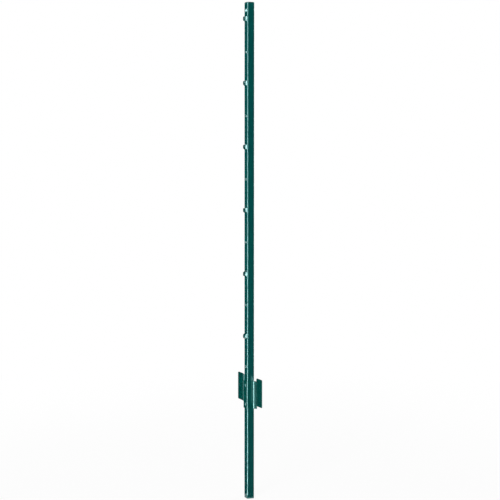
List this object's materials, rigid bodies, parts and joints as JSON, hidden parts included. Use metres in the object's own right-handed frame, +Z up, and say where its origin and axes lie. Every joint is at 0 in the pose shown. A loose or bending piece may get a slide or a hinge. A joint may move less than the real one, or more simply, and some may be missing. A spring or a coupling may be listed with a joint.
{
  "type": "u-channel fence post",
  "caption": "Roll-formed steel u-channel fence post with lanced wire hooks, tie holes and a riveted winged anchor plate near its driven end.",
  "frame": {"origin": "middle of the web's outer face at the post's driven end", "axes": "+X across the web, -Y out of the hook face, +Z up the post to its driving end"},
  "size_m": [0.127, 0.0241, 1.2065],
  "materials": {
    "post_coat": "gloss powder coat",
    "plate_coat": "gloss powder coat",
    "rivet_coat": "gloss powder coat"
  },
  "bodies": {
    "root": {"post": "post_coat", "anchor_plate": "plate_coat", "rivet_upper": "rivet_coat", "rivet_lower": "rivet_coat"}
  },
  "joints": []
}
